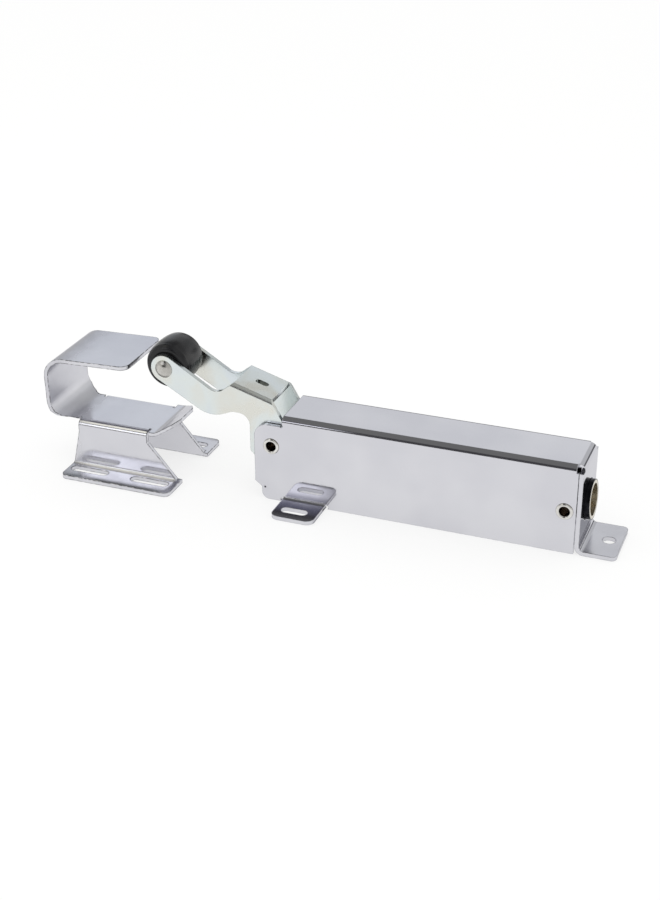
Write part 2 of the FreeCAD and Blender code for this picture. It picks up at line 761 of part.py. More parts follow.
# Main spring of flat wire, coiled between the collar and the gland
spring = new_body("main_spring", *strut_at)
wire = new_sketch(spring, "XZ_Plane")
draw_outline(wire, [
    (spring_start, "spring_inner_radius"),
    (f"{spring_start} + spring_wire_thick", "spring_inner_radius"),
    (f"{spring_start} + spring_wire_thick", "spring_outer_radius"),
    (spring_start, "spring_outer_radius"),
])
coil = spring.newObject("PartDesign::AdditiveHelix", "main_spring_coil")
coil.Profile = wire
coil.ReferenceAxis = (wire, ["H_Axis"])
coil.Mode = "height-turns-angle"
bind(coil, "Height", f"tube_start - gland_flange - {spring_start} - spring_wire_thick")
bind(coil, "Turns", "spring_turns")

# Speed screw beside the cap's axis, clear of the rear rivet
screw_floor = f"({cap_end} - cap_recess_depth)"
screw = turned("speed_screw", [
    (f"{screw_floor} - screw_length", "0"),
    (f"{screw_floor} - screw_length + screw_radius", "screw_radius"),
    (screw_floor, "screw_radius"),
    (screw_floor, "screw_head_radius"),
    (f"{screw_floor} + screw_head_height", "screw_head_radius"),
    (f"{screw_floor} + screw_head_height", "0"),
], f"{rear_x} - screw_offset * sin(strut_tilt)", "rear_z + screw_offset * cos(strut_tilt)", "-strut_tilt")
screw_slot = new_sketch(screw, "YZ_Plane", f"{screw_floor} + screw_head_height")
draw_outline(screw_slot, [
    ("-screw_head_radius - skim", "-screw_slot_width / 2"),
    ("screw_head_radius + skim", "-screw_slot_width / 2"),
    ("screw_head_radius + skim", "screw_slot_width / 2"),
    ("-screw_head_radius - skim", "screw_slot_width / 2"),
])
extrude(screw, screw_slot, "screw_slot_depth", kind="Pocket")

# Strike hook: C-shaped strip, tapered and flared, on two flanged webs
lip_start = "(web_right_high + lip_gap)"
lip_tip_x = f"({lip_start} + lip_length)"
lip_tip_z = "(hook_plate + lip_rise)"
mouth_slope = "atan(mouth_rise / (hook_top_end - hook_left))"
mouth_tip_x = f"(hook_top_end + sheet_thick * sin({mouth_slope}))"
mouth_tip_z = f"(hook_top + mouth_rise - sheet_thick * cos({mouth_slope}))"
mouth_root_z = f"({mouth_tip_z} - ({mouth_tip_x} - hook_left - sheet_thick) * tan({mouth_slope}))"
hook = new_body("strike_hook")
strip = new_sketch(hook, "XZ_Plane")
draw_outline(strip, [
    ("hook_top_end", "hook_top + mouth_rise"),
    ("hook_left", "hook_top"),
    ("hook_left", "hook_plate - sheet_thick"),
    (lip_start, "hook_plate - sheet_thick"),
    (lip_tip_x, f"{lip_tip_z} - sheet_thick"),
    (lip_tip_x, lip_tip_z),
    (lip_start, "hook_plate"),
    ("hook_left + sheet_thick", "hook_plate"),
    ("hook_left + sheet_thick", mouth_root_z),
    (mouth_tip_x, mouth_tip_z),
])
extrude(hook, strip, "2 * hook_top_half", both=True)
round_edges(hook, "hook_top_corner", upright(f"(hook_top_end + {mouth_tip_x}) / 2", "hook_top_half"))
round_edges(hook, "top_bend", across("hook_left", "hook_top"))
round_edges(hook, "top_bend - sheet_thick", across("hook_left + sheet_thick", mouth_root_z))
round_edges(hook, "plate_bend", across("hook_left", "hook_plate - sheet_thick"))
round_edges(hook, "plate_bend - sheet_thick", across("hook_left + sheet_thick", "hook_plate"))
round_edges(hook, "lip_bend", across(lip_start, "hook_plate"))
round_edges(hook, "lip_bend + sheet_thick", across(lip_start, "hook_plate - sheet_thick"))
taper = new_sketch(hook, "YZ_Plane", f"{lip_tip_x} + margin")
for side in ("-", ""):
    draw_outline(taper, [
        (f"{side}hook_top_half", "taper_high"),
        (f"{side}(hook_top_half + margin)", "taper_high"),
        (f"{side}(hook_top_half + margin)", "-margin"),
        (f"{side}hook_plate_half", "-margin"),
        (f"{side}hook_plate_half", "hook_plate + skim"),
        (f"{side}hook_wall_half", "taper_low"),
    ])
cut_through(hook, taper)
neck = new_sketch(hook, "YZ_Plane", "web_left_high")
for side in ("-", ""):
    draw_outline(neck, [
        (f"{side}neck_half", "-margin"),
        (f"{side}neck_half", "neck_low"),
        (f"{side}(hook_top_half + margin)", "neck_high"),
        (f"{side}(hook_top_half + margin)", "-margin"),
    ])
extrude(hook, neck, "web_left_high - hook_left + margin", kind="Pocket")
lip_side = "lip_tip_half + (hook_plate_half - lip_tip_half) * lip_corner / lip_length"
tongue = new_sketch(hook, "XY_Plane", f"{lip_tip_z} + margin")
for side in ("-", ""):
    draw_outline(tongue, [
        (lip_start, f"{side}hook_plate_half"),
        (f"{lip_tip_x} - lip_corner", f"{side}({lip_side})"),
        (lip_tip_x, f"{side}(lip_tip_half - lip_corner)"),
        (f"{lip_tip_x} + margin", f"{side}(lip_tip_half - lip_corner)"),
        (f"{lip_tip_x} + margin", f"{side}(hook_top_half + margin)"),
        (lip_start, f"{side}(hook_top_half + margin)"),
    ])
cut_through(hook, tongue)
web_half = "hook_plate_half"
webs = new_sketch(hook, "XZ_Plane")
draw_outline(webs, [
    ("web_left_low", "0"),
    ("web_left_low", "sheet_thick"),
    ("web_left_high", "web_knee_z"),
    ("web_left_high", "hook_plate"),
    ("web_right_high", "hook_plate"),
    ("web_right_high", "web_knee_z"),
    ("web_right_low", "sheet_thick"),
    ("web_right_low", "0"),
])
extrude(hook, webs, f"2 * {web_half}", both=True)
tunnel = new_sketch(hook, "XZ_Plane")
draw_outline(tunnel, [
    ("web_left_low - margin", "-margin"),
    ("web_left_low - margin", "hook_plate - sheet_thick"),
    (f"{lip_start} - lip_gap / 2", "hook_plate - sheet_thick"),
    (f"{lip_start} - lip_gap / 2", "web_knee_z"),
    ("web_right_low + margin", "sheet_thick"),
    ("web_right_low + margin", "-margin"),
])
extrude(hook, tunnel, f"2 * ({web_half} - sheet_thick)", kind="Pocket", both=True)
flanges = new_sketch(hook, "XY_Plane")
for side in ("-", ""):
    draw_outline(flanges, [
        ("web_left_low", f"{side}({web_half} - sheet_thick)"),
        ("flange_right", f"{side}({web_half} - sheet_thick)"),
        ("flange_right", f"{side}flange_half"),
        ("web_left_low", f"{side}flange_half"),
    ])
extrude(hook, flanges, "sheet_thick")
round_edges(hook, "flange_corner", upright("flange_right", "flange_half"))
round_edges(hook, "flange_corner", upright("web_left_low", "flange_half"))
notches = new_sketch(hook, "XY_Plane", "hook_plate + skim")
for side in ("-", ""):
    for start in ("web_right_high", "web_left_high - web_notch"):
        draw_outline(notches, [
            (start, f"{side}({web_half} - web_bend - skim)"),
            (f"{start} + web_notch", f"{side}({web_half} - web_bend - skim)"),
            (f"{start} + web_notch", f"{side}({web_half} + margin)"),
            (start, f"{side}({web_half} + margin)"),
        ])
extrude(hook, notches, "sheet_thick + 1.5 * skim", kind="Pocket")
round_edges(hook, "web_bend", along(web_half, "hook_plate", "web_left_high", "web_right_high"))
round_edges(hook, "web_foot_bend", along(web_half, "sheet_thick"))
hook_slots = new_sketch(hook, "XY_Plane", "sheet_thick")
for side in ("-", ""):
    for step in ("-", "+"):
        draw_slot(hook_slots, f"hook_slot_mid {step} hook_slot_pitch / 2", f"{side}hook_slot_half",
                  "hook_slot_length", "hook_slot_width")
cut_through(hook, hook_slots)
doc.recompute()

# Write every piece only when all of them are sound
bodies = [item for item in doc.Objects if item.TypeId == "PartDesign::Body"]
for item in doc.Objects:
    if "Invalid" in item.State or "Error" in item.State:
        raise RuntimeError(f"{item.Name} did not build")
for body in bodies:
    if body.Shape.isNull() or not body.Shape.isValid():
        raise RuntimeError(f"{body.Label} is not a sound solid")
os.makedirs("parts", exist_ok=True)
for body in bodies:
    body.Shape.exportStep(f"parts/{body.Label}.step")
    print(body.Label, len(body.Shape.Solids), round(body.Shape.Volume, 1), body.Shape.BoundBox)
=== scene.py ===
import math
import bpy
import bmesh
import numpy as np
from mathutils import Matrix, Vector


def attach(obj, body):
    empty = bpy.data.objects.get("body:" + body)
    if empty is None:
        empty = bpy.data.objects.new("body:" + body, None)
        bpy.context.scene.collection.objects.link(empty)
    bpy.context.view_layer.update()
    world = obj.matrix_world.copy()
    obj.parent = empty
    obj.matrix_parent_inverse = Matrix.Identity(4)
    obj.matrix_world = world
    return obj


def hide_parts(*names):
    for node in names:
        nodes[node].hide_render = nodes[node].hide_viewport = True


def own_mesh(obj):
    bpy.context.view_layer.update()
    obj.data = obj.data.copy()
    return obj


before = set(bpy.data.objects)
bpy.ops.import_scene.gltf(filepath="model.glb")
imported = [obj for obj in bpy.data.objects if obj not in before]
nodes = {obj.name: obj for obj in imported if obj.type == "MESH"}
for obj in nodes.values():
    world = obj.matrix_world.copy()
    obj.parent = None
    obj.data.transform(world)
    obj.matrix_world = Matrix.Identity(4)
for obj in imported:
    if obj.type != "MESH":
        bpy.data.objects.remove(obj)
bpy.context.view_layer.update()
scene = bpy.context.scene
scene.view_settings.view_transform = "Standard"
print("door closer: frame loaded,", len(nodes), "CAD nodes")

mm = 0.001

# places that the CAD gives, in metres
strutTilt = math.radians(2.75)
rearPivot = Vector((176.5, 0, 29.6)) * mm
armPivot = Vector((-22.0, 0, 40.0)) * mm
rollerAxle = armPivot + Vector((-78.1, 0, 42.3)) * mm

# what the materials share
noiseSpan = {"From Min": 0.3, "From Max": 0.7}  # most of a noise texture's values
tintFrom, tintTo = 0.35, 0.65  # the part of them over which a colour drifts
edgeSamples = 6  # rays that round an edge
waveRadians = 20  # a wave texture turns through this many radians in one unit
mixFactor, mixFirst, mixSecond, mixResult = 0, 6, 7, 2  # sockets of a Mix node for colours
white = (1, 1, 1, 1)


def hexColour(text):
    # sRGB hex to linear, channel by channel
    channels = [int(text[i:i + 2], 16) / 255 for i in (1, 3, 5)]
    linear = [c / 12.92 if c <= 0.04045 else ((c + 0.055) / 1.055) ** 2.4 for c in channels]
    return (*linear, 1.0)


def addNode(tree, kind, values=None, links=None, **settings):
    # one shader node with its settings, its socket values and what feeds it
    node = tree.nodes.new("ShaderNode" + kind)
    for name, setting in settings.items():
        setattr(node, name, setting)
    for name, number in (values or {}).items():
        node.inputs[name].default_value = number
    for name, source in (links or {}).items():
        tree.links.new(source, node.inputs[name])
    return node


def emptyTree(owner):
    # node tree of a material or of the world, with nothing in it
    owner.use_nodes = True
    owner.node_tree.nodes.clear()
    return owner.node_tree


def startMaterial(name):
    # new material, its tree and the object coordinates that its patterns read
    material = bpy.data.materials.new(name)
    tree = emptyTree(material)
    place = addNode(tree, "TexCoord").outputs["Object"]
    return material, tree, place


def finishMaterial(tree, values, links):
    # the surface, from its plain values and from the nodes that feed it
    shader = addNode(tree, "BsdfPrincipled", values=values, links=links)
    addNode(tree, "OutputMaterial", links={"Surface": shader.outputs["BSDF"]})


def setRamp(node, stops):
    # colour ramp from (position, hex) pairs
    ramp = node.color_ramp
    while len(ramp.elements) < len(stops):
        ramp.elements.new(0.5)
    for element, (position, colour) in zip(ramp.elements, stops):
        element.position = position
        element.color = hexColour(colour)
    return node


def perMetre(sizeMm):
    # noise scale whose features are about this many millimetres across
    return 1.0 / (sizeMm * mm)


def axisPlace(tree, place, centre, turn):
    # coordinates moved to a turned piece's centre, then turned back about Y onto its axis
    back = Matrix.Rotation(turn, 3, "Y").inverted() @ centre
    local = addNode(tree, "Mapping", vector_type="POINT", links={"Vector": place},
                    values={"Location": -back, "Rotation": (0, -turn, 0)})
    return local.outputs["Vector"]


def fromAxis(tree, local, across):
    # distance from the axis, which is the direction that has 0 in across
    flat = addNode(tree, "VectorMath", operation="MULTIPLY", values={1: across}, links={0: local})
    reach = addNode(tree, "VectorMath", operation="LENGTH", links={0: flat.outputs["Vector"]})
    return reach.outputs["Value"]


# Chrome plate: folded cold-rolled sheet, polished, nickel and chrome plated
# a near mirror with the slow waviness of rolled sheet and a faint haze
chromeLook = {
    "light": "#D6D6DB", "deep": "#CECED4", "grazing": "#E6E6E8", "cloudMm": 45,
    "waveMm": 26, "waveDepthMm": 0.010,
    "hazeMm": 7, "hazeLow": 0.045, "hazeHigh": 0.085,
    # added dullness of a tight bend, and where along X it starts and ends
    "stretchDull": 0.16, "stretchFromMm": 190.0, "stretchToMm": 187.2,
    # rounded edges with dark dashes of painted shade, which begin and are full at these cosines of the
    # rounding
    "edgeMm": 0.6, "edgeShade": "#26272A", "edgeDark": 0.35, "edgeBegins": 0.995, "edgeFull": 0.95,
    "dashMm": 2.2, "dashFrom": 0.42, "dashTo": 0.52,
    # roll-over of the side tabs: slope at the edge, its growth, and the tabs' reach along X, Y and Z
    "tabDroop": 0.11, "tabPower": 2.0, "tabHalfMm": 19.0, "tabFromMm": 22.0, "tabToMm": 45.7, "tabTopMm": 3.2,
}
# the hook is plated over rougher pressed sheet, so its mirror is softer and more wavy
# its flanges roll over along their whole length
hookLook = {
    **chromeLook, "waveMm": 18, "waveDepthMm": 0.020, "hazeLow": 0.09, "hazeHigh": 0.17,
    "stretchDull": 0.22, "stretchFromMm": -172, "stretchToMm": -156,
    "edgeMm": 1.0, "edgeDark": 0.9, "tabDroop": 0.22, "tabPower": 4.0, "tabHalfMm": 400.0,
}


def chromePlate(name, look):
    material, tree, place = startMaterial(name)
    spot = addNode(tree, "SeparateXYZ", links={"Vector": place})
    cloud = addNode(tree, "TexNoise", links={"Vector": place},
                    values={"Scale": perMetre(look["cloudMm"]), "Detail": 2.0})
    tint = setRamp(addNode(tree, "ValToRGB", links={"Fac": cloud.outputs["Fac"]}),
                   [(tintFrom, look["deep"]), (tintTo, look["light"])])
    # haze, and more of it where the sheet stretched round a tight bend
    haze = addNode(tree, "TexNoise", links={"Vector": place},
                   values={"Scale": perMetre(look["hazeMm"]), "Detail": 4.0})
    rough = addNode(tree, "MapRange", links={"Value": haze.outputs["Fac"]},
                    values={**noiseSpan, "To Min": look["hazeLow"], "To Max": look["hazeHigh"]})
    stretch = addNode(tree, "MapRange", links={"Value": spot.outputs["X"]},
                      values={"From Min": look["stretchFromMm"] * mm, "From Max": look["stretchToMm"] * mm,
                              "To Min": look["stretchDull"], "To Max": 0.0})
    dulled = addNode(tree, "Math", operation="ADD",
                     links={0: rough.outputs["Result"], 1: stretch.outputs["Result"]})
    # rounded edges under the waviness
    edge = addNode(tree, "Bevel", samples=edgeSamples, values={"Radius": look["edgeMm"] * mm})
    wave = addNode(tree, "TexNoise", links={"Vector": place},
                   values={"Scale": perMetre(look["waveMm"]), "Detail": 1.0})
    wavy = addNode(tree, "Bump", values={"Strength": 1.0, "Distance": look["waveDepthMm"] * mm},
                   links={"Height": wave.outputs["Fac"], "Normal": edge.outputs["Normal"]})
    # sheared tabs roll over: their height falls by a power of the way out,
    # so the slope grows from nothing at the wall to tabDroop at the edge
    wayOut = (look["tabToMm"] - look["tabFromMm"]) * mm
    growth = look["tabPower"] + 1
    along = addNode(tree, "Math", operation="ABSOLUTE", links={0: spot.outputs["X"]})
    across = addNode(tree, "Math", operation="ABSOLUTE", links={0: spot.outputs["Y"]})
    onLength = addNode(tree, "Math", operation="LESS_THAN", values={1: look["tabHalfMm"] * mm},
                       links={0: along.outputs["Value"]})
    lowDown = addNode(tree, "Math", operation="LESS_THAN", values={1: look["tabTopMm"] * mm},
                      links={0: spot.outputs["Z"]})
    onTab = addNode(tree, "Math", operation="MULTIPLY",
                    links={0: onLength.outputs["Value"], 1: lowDown.outputs["Value"]})
    outward = addNode(tree, "Math", operation="SUBTRACT", use_clamp=True,
                      values={1: look["tabFromMm"] * mm}, links={0: across.outputs["Value"]})
    share = addNode(tree, "Math", operation="DIVIDE", values={1: wayOut}, links={0: outward.outputs["Value"]})
    curve = addNode(tree, "Math", operation="POWER", values={1: growth}, links={0: share.outputs["Value"]})
    fall = addNode(tree, "Math", operation="MULTIPLY", values={1: -look["tabDroop"] * wayOut / growth},
                   links={0: curve.outputs["Value"]})
    droop = addNode(tree, "Math", operation="MULTIPLY",
                    links={0: fall.outputs["Value"], 1: onTab.outputs["Value"]})
    tilted = addNode(tree, "Bump", values={"Strength": 1.0, "Distance": 1.0},
                     links={"Height": droop.outputs["Value"], "Normal": wavy.outputs["Normal"]})
    # painted shade in dark dashes along the sheared edges, where the rounded normal leaves the face's own
    face = addNode(tree, "NewGeometry")
    leaving = addNode(tree, "VectorMath", operation="DOT_PRODUCT",
                      links={0: edge.outputs["Normal"], 1: face.outputs["Normal"]})
    rim = addNode(tree, "MapRange", values={"From Min": look["edgeBegins"], "From Max": look["edgeFull"]},
                  links={"Value": leaving.outputs["Value"]})
    dashes = addNode(tree, "TexNoise", links={"Vector": place},
                     values={"Scale": perMetre(look["dashMm"]), "Detail": 2.0})
    broken = addNode(tree, "MapRange", links={"Value": dashes.outputs["Fac"]},
                     values={"From Min": look["dashFrom"], "From Max": look["dashTo"],
                             "To Max": look["edgeDark"]})
    dark = addNode(tree, "Math", operation="MULTIPLY",
                   links={0: rim.outputs["Result"], 1: broken.outputs["Result"]})
    tintWithPaintedShade = addNode(tree, "Mix", data_type="RGBA", values={mixSecond: hexColour(look["edgeShade"])},
                     links={mixFactor: dark.outputs["Value"], mixFirst: tint.outputs["Color"]})
    # chromium mirrors less than most metals at grazing angles
    finishMaterial(tree, {"Metallic": 1.0, "Specular Tint": hexColour(look["grazing"])},
                   {"Base Color": tintWithPaintedShade.outputs[mixResult], "Roughness": dulled.outputs["Value"],
                    "Normal": tilted.outputs["Normal"]})
    return material


# Zinc plate: bent sheet, barrel plated and clear passivated
# a pale satin silver that drifts to green, blue and straw in soft clouds
zincLook = {
    "blue": "#D6DDE1", "silver": "#DCE2E1", "straw": "#DEDED7", "cloudMm": 24,
    "blueAt": 0.32, "silverAt": 0.5, "strawAt": 0.68,
    "grainMm": 0.9, "grainDepthMm": 0.003, "smooth": 0.16, "dull": 0.28, "edgeMm": 0.5,
    # painted shade in the walls of the bridge's punched slot, then the slot: its middle along X, half its
    # straight length and the radius of its ends
    "slotPaintedShade": "#6C6E6A", "slotAtMm": -36.2, "slotStraightMm": 2.1, "slotRadiusMm": 2.37,
}


def zincPlate(name, look):
    material, tree, place = startMaterial(name)
    spot = addNode(tree, "SeparateXYZ", links={"Vector": place})
    cloud = addNode(tree, "TexNoise", links={"Vector": place},
                    values={"Scale": perMetre(look["cloudMm"]), "Detail": 3.0, "Distortion": 0.6})
    tint = setRamp(addNode(tree, "ValToRGB", links={"Fac": cloud.outputs["Fac"]}),
                   [(look[hue + "At"], look[hue]) for hue in ("blue", "silver", "straw")])
    rough = addNode(tree, "MapRange", links={"Value": cloud.outputs["Fac"]},
                    values={**noiseSpan, "To Min": look["smooth"], "To Max": look["dull"]})
    edge = addNode(tree, "Bevel", samples=edgeSamples, values={"Radius": look["edgeMm"] * mm})
    grain = addNode(tree, "TexNoise", links={"Vector": place},
                    values={"Scale": perMetre(look["grainMm"]), "Detail": 3.0})
    bump = addNode(tree, "Bump", values={"Strength": 0.6, "Distance": look["grainDepthMm"] * mm},
                   links={"Height": grain.outputs["Fac"], "Normal": edge.outputs["Normal"]})
    # the walls of the punched slot are painted dark, as painted shade where little light reaches
    # they lie within a radius of the slot's middle line
    fromMiddle = addNode(tree, "Math", operation="SUBTRACT", values={1: look["slotAtMm"] * mm},
                         links={0: spot.outputs["X"]})
    eitherWay = addNode(tree, "Math", operation="ABSOLUTE", links={0: fromMiddle.outputs["Value"]})
    pastStraight = addNode(tree, "Math", operation="SUBTRACT", use_clamp=True,
                           values={1: look["slotStraightMm"] * mm}, links={0: eitherWay.outputs["Value"]})
    offLine = addNode(tree, "CombineXYZ", links={"X": pastStraight.outputs["Value"], "Y": spot.outputs["Y"]})
    away = addNode(tree, "VectorMath", operation="LENGTH", links={0: offLine.outputs["Vector"]})
    inSlot = addNode(tree, "Math", operation="LESS_THAN", values={1: look["slotRadiusMm"] * mm},
                     links={0: away.outputs["Value"]})
    tintWithPaintedShade = addNode(tree, "Mix", data_type="RGBA", values={mixSecond: hexColour(look["slotPaintedShade"])},
                     links={mixFactor: inSlot.outputs["Value"], mixFirst: tint.outputs["Color"]})
    finishMaterial(tree, {"Metallic": 1.0},
                   {"Base Color": tintWithPaintedShade.outputs[mixResult], "Roughness": rough.outputs["Result"],
                    "Normal": bump.outputs["Normal"]})
    return material


# Moulded rubber: carbon-filled, pressed in a polished mould
# near black with a soft broad sheen, a faint grain and a paler bloom
tyreLook = {"black": "#161618", "bloom": "#232325", "bloomMm": 6, "grainMm": 0.5, "grainDepthMm": 0.012,
            "smooth": 0.20, "dull": 0.28, "shine": 0.32}
# Nitrile rubber: cut seals, finer grained and less shiny
sealLook = {"black": "#17171A", "bloom": "#222225", "bloomMm": 3, "grainMm": 0.4, "grainDepthMm": 0.006,
            "smooth": 0.40, "dull": 0.52, "shine": 0.4}
bloomFull = 0.75  # noise value at which the bloom is at its palest


def mouldedRubber(name, look):
    material, tree, place = startMaterial(name)
    bloom = addNode(tree, "TexNoise", links={"Vector": place},
                    values={"Scale": perMetre(look["bloomMm"]), "Detail": 4.0})
    tint = setRamp(addNode(tree, "ValToRGB", links={"Fac": bloom.outputs["Fac"]}),
                   [(tintFrom, look["black"]), (bloomFull, look["bloom"])])
    rough = addNode(tree, "MapRange", links={"Value": bloom.outputs["Fac"]},
                    values={**noiseSpan, "To Min": look["smooth"], "To Max": look["dull"]})
    grain = addNode(tree, "TexNoise", links={"Vector": place},
                    values={"Scale": perMetre(look["grainMm"]), "Detail": 2.0})
    bump = addNode(tree, "Bump", values={"Strength": 0.5, "Distance": look["grainDepthMm"] * mm},
                   links={"Height": grain.outputs["Fac"]})
    finishMaterial(tree, {"IOR": 1.50, "Specular IOR Level": look["shine"]},
                   {"Base Color": tint.outputs["Color"], "Roughness": rough.outputs["Result"],
                    "Normal": bump.outputs["Normal"]})
    return material


# Turned metals: cut on a lathe, so fine rings run round their axis
# the rings are drawn coarser than the real feed marks, or the render would lose them
# bright steel: neutral grey with clear rings
steelLook = {"light": "#C9C7C2", "deep": "#B4B2AD", "cloudMm": 9, "feedMm": 0.5, "feedDepthMm": 0.008,
             "smooth": 0.16, "dull": 0.30}
# nickel plate: warm and bright, with painted shade in the bore and a painted shadow where the rim meets the
# sheet
nickelLook = {"light": "#E0DFDC", "deep": "#D0CECA", "cloudMm": 5, "feedMm": 0.6, "feedDepthMm": 0.004,
              "smooth": 0.08, "dull": 0.14, "paintedShade": "#9A928A",
              "boreBeginsMm": 3.6, "boreFullMm": 3.4, "creaseBeginsMm": 5.45, "creaseFullMm": 5.7}
# sintered bronze: dull gold, mottled by its pores
bronzeLook = {"light": "#C8A368", "deep": "#A98550", "cloudMm": 1.2, "feedMm": 0.5, "feedDepthMm": 0.006,
              "smooth": 0.28, "dull": 0.42}
# brass: clean yellow
brassLook = {"light": "#D6B76A", "deep": "#C2A254", "cloudMm": 6, "feedMm": 0.4, "feedDepthMm": 0.006,
             "smooth": 0.18, "dull": 0.30}
# hard chrome on a ground rod: a cold, even near mirror
hardChromeLook = {"light": "#D6D7DA", "deep": "#CDCED2", "cloudMm": 12, "feedMm": 0.3, "feedDepthMm": 0.002,
                  "smooth": 0.07, "dull": 0.12}
# zinc plated nuts: pale grey satin
zincNutLook = {"light": "#CBD0CE", "deep": "#BCC2C4", "cloudMm": 5, "feedMm": 0.5, "feedDepthMm": 0.006,
               "smooth": 0.25, "dull": 0.38}


def turnedMetal(name, look, centre, turn=0.0, alongAxis="X"):
    material, tree, place = startMaterial(name)
    local = axisPlace(tree, place, centre, turn)
    rings = addNode(tree, "TexWave", wave_type="RINGS", rings_direction=alongAxis, links={"Vector": local},
                    values={"Scale": perMetre(look["feedMm"]) / waveRadians,
                            "Distortion": 0.4, "Detail": 1.0})
    rough = addNode(tree, "MapRange", values={"To Min": look["smooth"], "To Max": look["dull"]},
                    links={"Value": rings.outputs["Fac"]})
    bump = addNode(tree, "Bump", values={"Strength": 0.4, "Distance": look["feedDepthMm"] * mm},
                   links={"Height": rings.outputs["Fac"]})
    cloud = addNode(tree, "TexNoise", links={"Vector": place},
                    values={"Scale": perMetre(look["cloudMm"]), "Detail": 3.0})
    tint = setRamp(addNode(tree, "ValToRGB", links={"Fac": cloud.outputs["Fac"]}),
                   [(tintFrom, look["deep"]), (tintTo, look["light"])])
    colour = tint.outputs["Color"]
    if "paintedShade" in look:
        # painted shade and shadow by distance from an axis along Y
        reach = fromAxis(tree, local, (1, 0, 1))
        inBore = addNode(tree, "MapRange", links={"Value": reach},
                         values={"From Min": look["boreBeginsMm"] * mm, "From Max": look["boreFullMm"] * mm})
        inCrease = addNode(tree, "MapRange", links={"Value": reach},
                           values={"From Min": look["creaseBeginsMm"] * mm,
                                   "From Max": look["creaseFullMm"] * mm})
        paintedShade = addNode(tree, "Math", operation="MAXIMUM",
                        links={0: inBore.outputs["Result"], 1: inCrease.outputs["Result"]})
        mixed = addNode(tree, "Mix", data_type="RGBA", values={mixSecond: hexColour(look["paintedShade"])},
                        links={mixFactor: paintedShade.outputs["Value"], mixFirst: colour})
        colour = mixed.outputs[mixResult]
    finishMaterial(tree, {"Metallic": 1.0},
                   {"Base Color": colour, "Roughness": rough.outputs["Result"],
                    "Normal": bump.outputs["Normal"]})
    return material


# Turned steel cap with painted shade outside and painted light inside
# painted shade, dark and half glossy, round the outside; painted light, warm pale steel, on the rim and
# inside
capLook = {"black": "#16161A", "soft": "#26262A", "bright": "#D8D2C4", "warm": "#B9B2A2", "cloudMm": 4,
           "shadeBeginsMm": 12.4, "shadeFullMm": 12.7, "smooth": 0.20, "dull": 0.34}


def capWithPaintedShade(name, look, centre, turn):
    material, tree, place = startMaterial(name)
    reach = fromAxis(tree, axisPlace(tree, place, centre, turn), (0, 1, 1))
    # painted shade beyond this radius, painted light within it
    outside = addNode(tree, "MapRange", links={"Value": reach},
                      values={"From Min": look["shadeBeginsMm"] * mm, "From Max": look["shadeFullMm"] * mm})
    cloud = addNode(tree, "TexNoise", links={"Vector": place},
                    values={"Scale": perMetre(look["cloudMm"]), "Detail": 3.0})
    bright = setRamp(addNode(tree, "ValToRGB", links={"Fac": cloud.outputs["Fac"]}),
                     [(tintFrom, look["warm"]), (tintTo, look["bright"])])
    black = setRamp(addNode(tree, "ValToRGB", links={"Fac": cloud.outputs["Fac"]}),
                    [(tintFrom, look["black"]), (tintTo, look["soft"])])
    tint = addNode(tree, "Mix", data_type="RGBA",
                   links={mixFactor: outside.outputs["Result"], mixFirst: bright.outputs["Color"],
                          mixSecond: black.outputs["Color"]})
    rough = addNode(tree, "MapRange", links={"Value": cloud.outputs["Fac"]},
                    values={**noiseSpan, "To Min": look["smooth"], "To Max": look["dull"]})
    finishMaterial(tree, {"Metallic": 1.0},
                   {"Base Color": tint.outputs[mixResult], "Roughness": rough.outputs["Result"]})
    return material


# Stove enamel on the tube: black coat with a slight orange peel
enamelLook = {"light": "#1E1F22", "deep": "#151618", "cloudMm": 20, "peelMm": 1.5, "peelDepthMm": 0.015,
              "smooth": 0.25, "dull": 0.36, "metallic": 0.0}
# Oil-tempered spring wire: dark grey metal with a fine scale
wireLook = {"light": "#6E6C6A", "deep": "#4C4B4B", "cloudMm": 3, "peelMm": 0.8, "peelDepthMm": 0.006,
            "smooth": 0.30, "dull": 0.45, "metallic": 1.0}
# Filled PTFE: matt grey-brown
ptfeLook = {"light": "#8C8273", "deep": "#776E61", "cloudMm": 1.5, "peelMm": 0.6, "peelDepthMm": 0.004,
            "smooth": 0.45, "dull": 0.55, "metallic": 0.0}


def coated(name, look):
    material, tree, place = startMaterial(name)
    cloud = addNode(tree, "TexNoise", links={"Vector": place},
                    values={"Scale": perMetre(look["cloudMm"]), "Detail": 3.0})
    tint = setRamp(addNode(tree, "ValToRGB", links={"Fac": cloud.outputs["Fac"]}),
                   [(tintFrom, look["deep"]), (tintTo, look["light"])])
    rough = addNode(tree, "MapRange", values={"To Min": look["smooth"], "To Max": look["dull"]},
                    links={"Value": cloud.outputs["Fac"]})
    peel = addNode(tree, "TexNoise", links={"Vector": place},
                   values={"Scale": perMetre(look["peelMm"]), "Detail": 2.0})
    bump = addNode(tree, "Bump", values={"Strength": 0.5, "Distance": look["peelDepthMm"] * mm},
                   links={"Height": peel.outputs["Fac"]})
    finishMaterial(tree, {"Metallic": look["metallic"]},
                   {"Base Color": tint.outputs["Color"], "Roughness": rough.outputs["Result"],
                    "Normal": bump.outputs["Normal"]})
    return material


